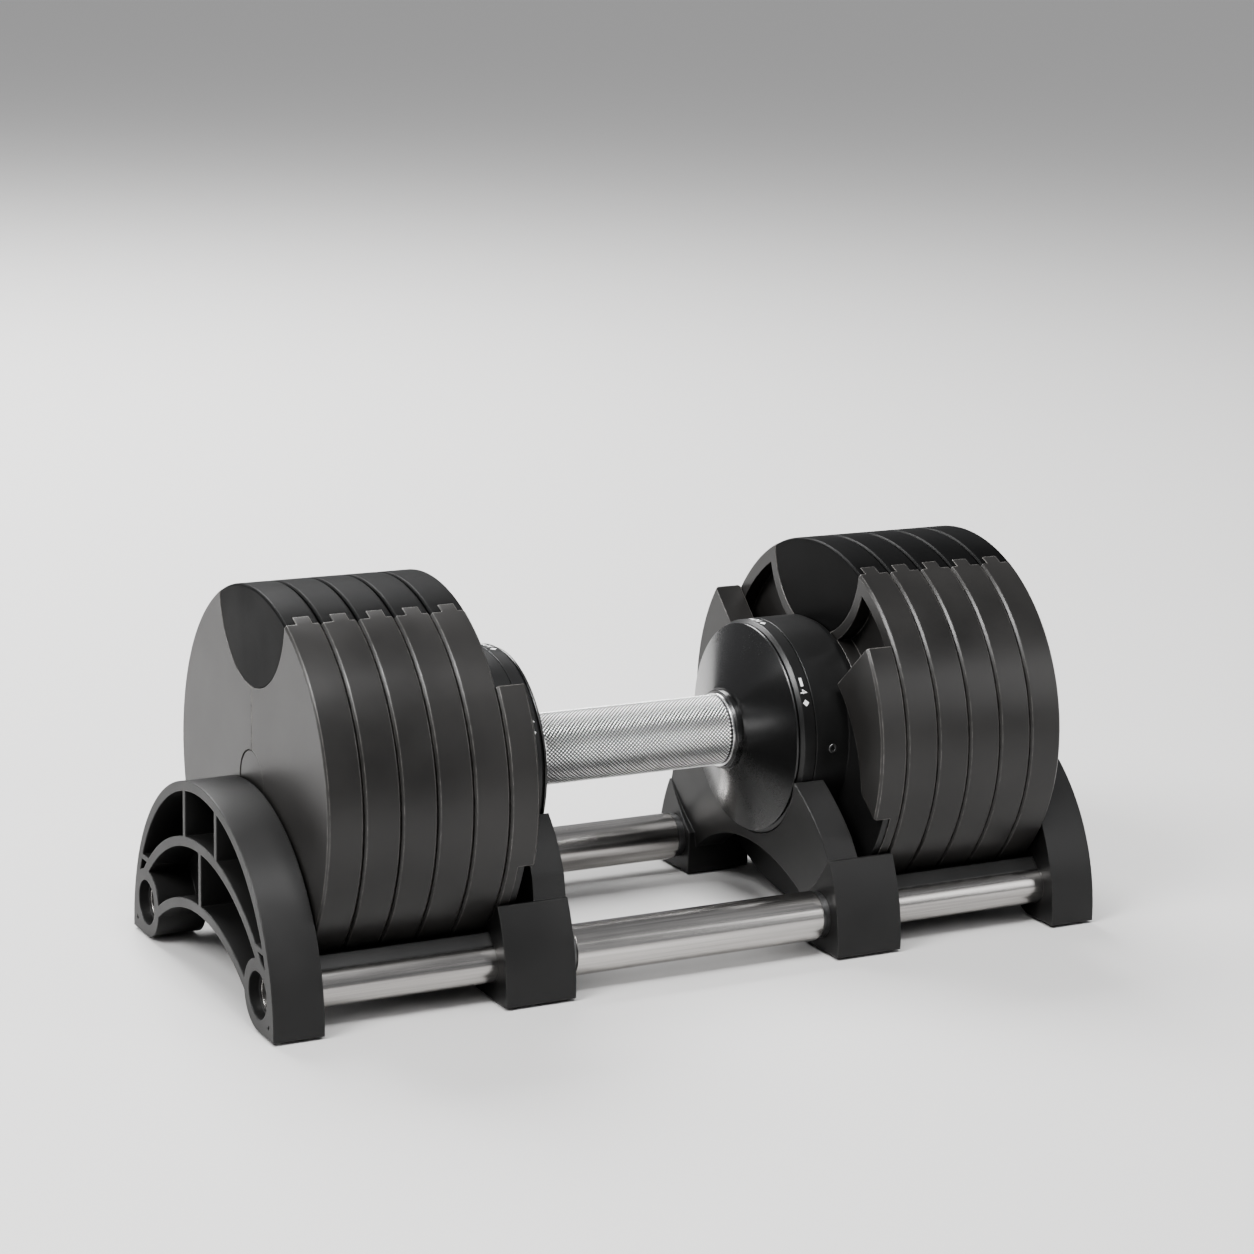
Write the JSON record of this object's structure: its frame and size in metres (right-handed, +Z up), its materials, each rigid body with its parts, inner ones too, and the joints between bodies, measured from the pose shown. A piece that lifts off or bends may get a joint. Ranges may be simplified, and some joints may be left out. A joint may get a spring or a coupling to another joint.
{
  "type": "adjustable dumbbell",
  "caption": "Twist-grip adjustable dumbbell with stacked round weight plates, resting in a two-tube cradle tray.",
  "frame": {"origin": "centre of the footprint, on the floor under the tray's feet", "axes": "+X along the handle, +Y towards the back, +Z up"},
  "size_m": [0.4308, 0.18, 0.183],
  "materials": {
    "satin_tray": "satin",
    "iron_plate": "satin black coat",
    "insert": "fine matt",
    "brushed_tube": "brushed along the tube",
    "sleeve_steel": "brushed along the tube",
    "collar_steel": "satin",
    "fastener": "blackened",
    "rubber_foot": "matt",
    "bell_gloss": "gloss black",
    "boss_black": "satin black paint",
    "wing_iron": "satin black coat",
    "knurled_steel": "bright knurled",
    "ring_steel": "polished",
    "drive_steel": "machined",
    "rod_steel": "ground",
    "plug": "matt",
    "dial_black": "satin with pale marks"
  },
  "bodies": {
    "tray": {"left_cradle": "satin_tray", "right_cradle": "satin_tray", "left_support": "satin_tray", "right_support": "satin_tray", "front_tube": "brushed_tube", "rear_tube": "brushed_tube", "front_sleeve": "sleeve_steel", "rear_sleeve": "sleeve_steel", "sleeve_collars": "collar_steel", "tube_plugs": "plug", "support_screws": "fastener", "left_rest_rails": "satin_tray", "right_rest_rails": "satin_tray", "feet": "rubber_foot"},
    "handle": {"left_boss": "boss_black", "right_boss": "boss_black", "left_wing": "wing_iron", "right_wing": "wing_iron", "wing_screws": "fastener", "guide_bar": "drive_steel", "rod_keys": "drive_steel", "left_lock_spring": "drive_steel", "right_lock_spring": "drive_steel"},
    "grip": {"grip_sleeve": "knurled_steel", "grip_end_rings": "ring_steel", "drive_tube": "drive_steel", "drive_pins": "drive_steel", "snap_rings": "drive_steel", "thrust_collars": "drive_steel", "left_cone": "bell_gloss", "right_cone": "bell_gloss", "left_dial": "dial_black", "right_dial": "dial_black"},
    "left_rod_slider": {"left_rod": "rod_steel"},
    "right_rod_slider": {"right_rod": "rod_steel"},
    "left_lock": {"left_lock_pin": "drive_steel"},
    "right_lock": {"right_lock_pin": "drive_steel"},
    "left_weight_1": {"left_plate_1": "iron_plate", "left_insert_1": "insert"},
    "left_weight_2": {"left_plate_2": "iron_plate", "left_insert_2": "insert"},
    "left_weight_3": {"left_plate_3": "iron_plate", "left_insert_3": "insert"},
    "left_weight_4": {"left_plate_4": "iron_plate", "left_insert_4": "insert"},
    "left_weight_5": {"left_plate_5": "iron_plate", "left_insert_5": "insert", "left_hub_cap": "iron_plate"},
    "right_weight_1": {"right_plate_1": "iron_plate", "right_insert_1": "insert"},
    "right_weight_2": {"right_plate_2": "iron_plate", "right_insert_2": "insert"},
    "right_weight_3": {"right_plate_3": "iron_plate", "right_insert_3": "insert"},
    "right_weight_4": {"right_plate_4": "iron_plate", "right_insert_4": "insert"},
    "right_weight_5": {"right_plate_5": "iron_plate", "right_insert_5": "insert", "right_hub_cap": "iron_plate"}
  },
  "joints": [
    {"name": "handle_lift", "type": "slide", "parent": "tray", "child": "handle", "axis": [0, 0, 1], "range_m": [0, 0.2]},
    {"name": "grip_turn", "type": "hinge", "parent": "handle", "child": "grip", "pos_m": [0, 0, 0.093], "axis": [1, 0, 0], "range_deg": [0, 300]},
    {"name": "left_rod_out", "type": "slide", "parent": "handle", "child": "left_rod_slider", "axis": [-1, 0, 0], "range_m": [0, 0.084]},
    {"name": "right_rod_out", "type": "slide", "parent": "handle", "child": "right_rod_slider", "axis": [1, 0, 0], "range_m": [0, 0.084]},
    {"name": "left_lock_drop", "type": "slide", "parent": "handle", "child": "left_lock", "axis": [0, 0, -1], "range_m": [0, 0.004], "deforming": ["left_lock_spring"]},
    {"name": "right_lock_drop", "type": "slide", "parent": "handle", "child": "right_lock", "axis": [0, 0, -1], "range_m": [0, 0.004], "deforming": ["right_lock_spring"]},
    {"name": "left_weight_1_lift", "type": "slide", "parent": "tray", "child": "left_weight_1", "axis": [0, 0, 1], "range_m": [0, 0.2]},
    {"name": "left_weight_2_lift", "type": "slide", "parent": "tray", "child": "left_weight_2", "axis": [0, 0, 1], "range_m": [0, 0.2]},
    {"name": "left_weight_3_lift", "type": "slide", "parent": "tray", "child": "left_weight_3", "axis": [0, 0, 1], "range_m": [0, 0.2]},
    {"name": "left_weight_4_lift", "type": "slide", "parent": "tray", "child": "left_weight_4", "axis": [0, 0, 1], "range_m": [0, 0.2]},
    {"name": "left_weight_5_lift", "type": "slide", "parent": "tray", "child": "left_weight_5", "axis": [0, 0, 1], "range_m": [0, 0.2]},
    {"name": "right_weight_1_lift", "type": "slide", "parent": "tray", "child": "right_weight_1", "axis": [0, 0, 1], "range_m": [0, 0.2]},
    {"name": "right_weight_2_lift", "type": "slide", "parent": "tray", "child": "right_weight_2", "axis": [0, 0, 1], "range_m": [0, 0.2]},
    {"name": "right_weight_3_lift", "type": "slide", "parent": "tray", "child": "right_weight_3", "axis": [0, 0, 1], "range_m": [0, 0.2]},
    {"name": "right_weight_4_lift", "type": "slide", "parent": "tray", "child": "right_weight_4", "axis": [0, 0, 1], "range_m": [0, 0.2]},
    {"name": "right_weight_5_lift", "type": "slide", "parent": "tray", "child": "right_weight_5", "axis": [0, 0, 1], "range_m": [0, 0.2]}
  ],
  "couplings": [
    {"joint": "left_rod_out", "follows": "grip_turn", "m_per_rad": 0.016043},
    {"joint": "right_rod_out", "follows": "grip_turn", "m_per_rad": 0.016043},
    {"joint": "left_lock_drop", "follows": "handle_lift", "ratio": 0.02},
    {"joint": "right_lock_drop", "follows": "handle_lift", "ratio": 0.02}
  ]
}
